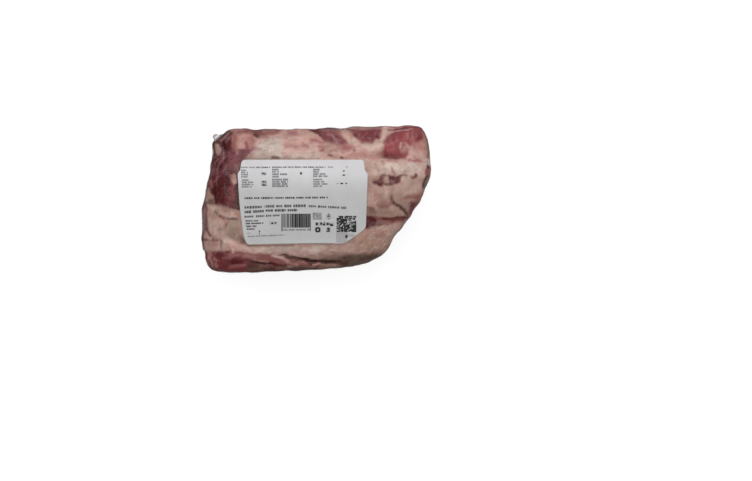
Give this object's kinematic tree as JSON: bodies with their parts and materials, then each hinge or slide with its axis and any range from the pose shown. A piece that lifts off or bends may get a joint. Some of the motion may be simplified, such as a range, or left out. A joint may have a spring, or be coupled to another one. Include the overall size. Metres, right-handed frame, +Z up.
{
  "type": "vacuum-packed ribeye beef piece",
  "caption": "Boneless ribeye beef piece in tight clear shrink film, lying flat, with a paper label stuck on its upper side.",
  "frame": {"origin": "middle of the foot of the box round the piece, on the surface it lies on", "axes": "+X along the longest way of the piece towards its narrow end, +Y across it, +Z up out of the label"},
  "size_m": [0.2134, 0.136, 0.0727],
  "materials": {
    "wrapped_beef": "dark red beef with cream and pink fat under tight clear glossy shrink film",
    "bag_seal": "clear glossy film, welded in fine cross lines",
    "label": "white satin label paper with small dark print"
  },
  "bodies": {
    "root": {"wrapped_beef": "wrapped_beef", "bag_seal": "bag_seal", "label": "label"}
  },
  "joints": []
}
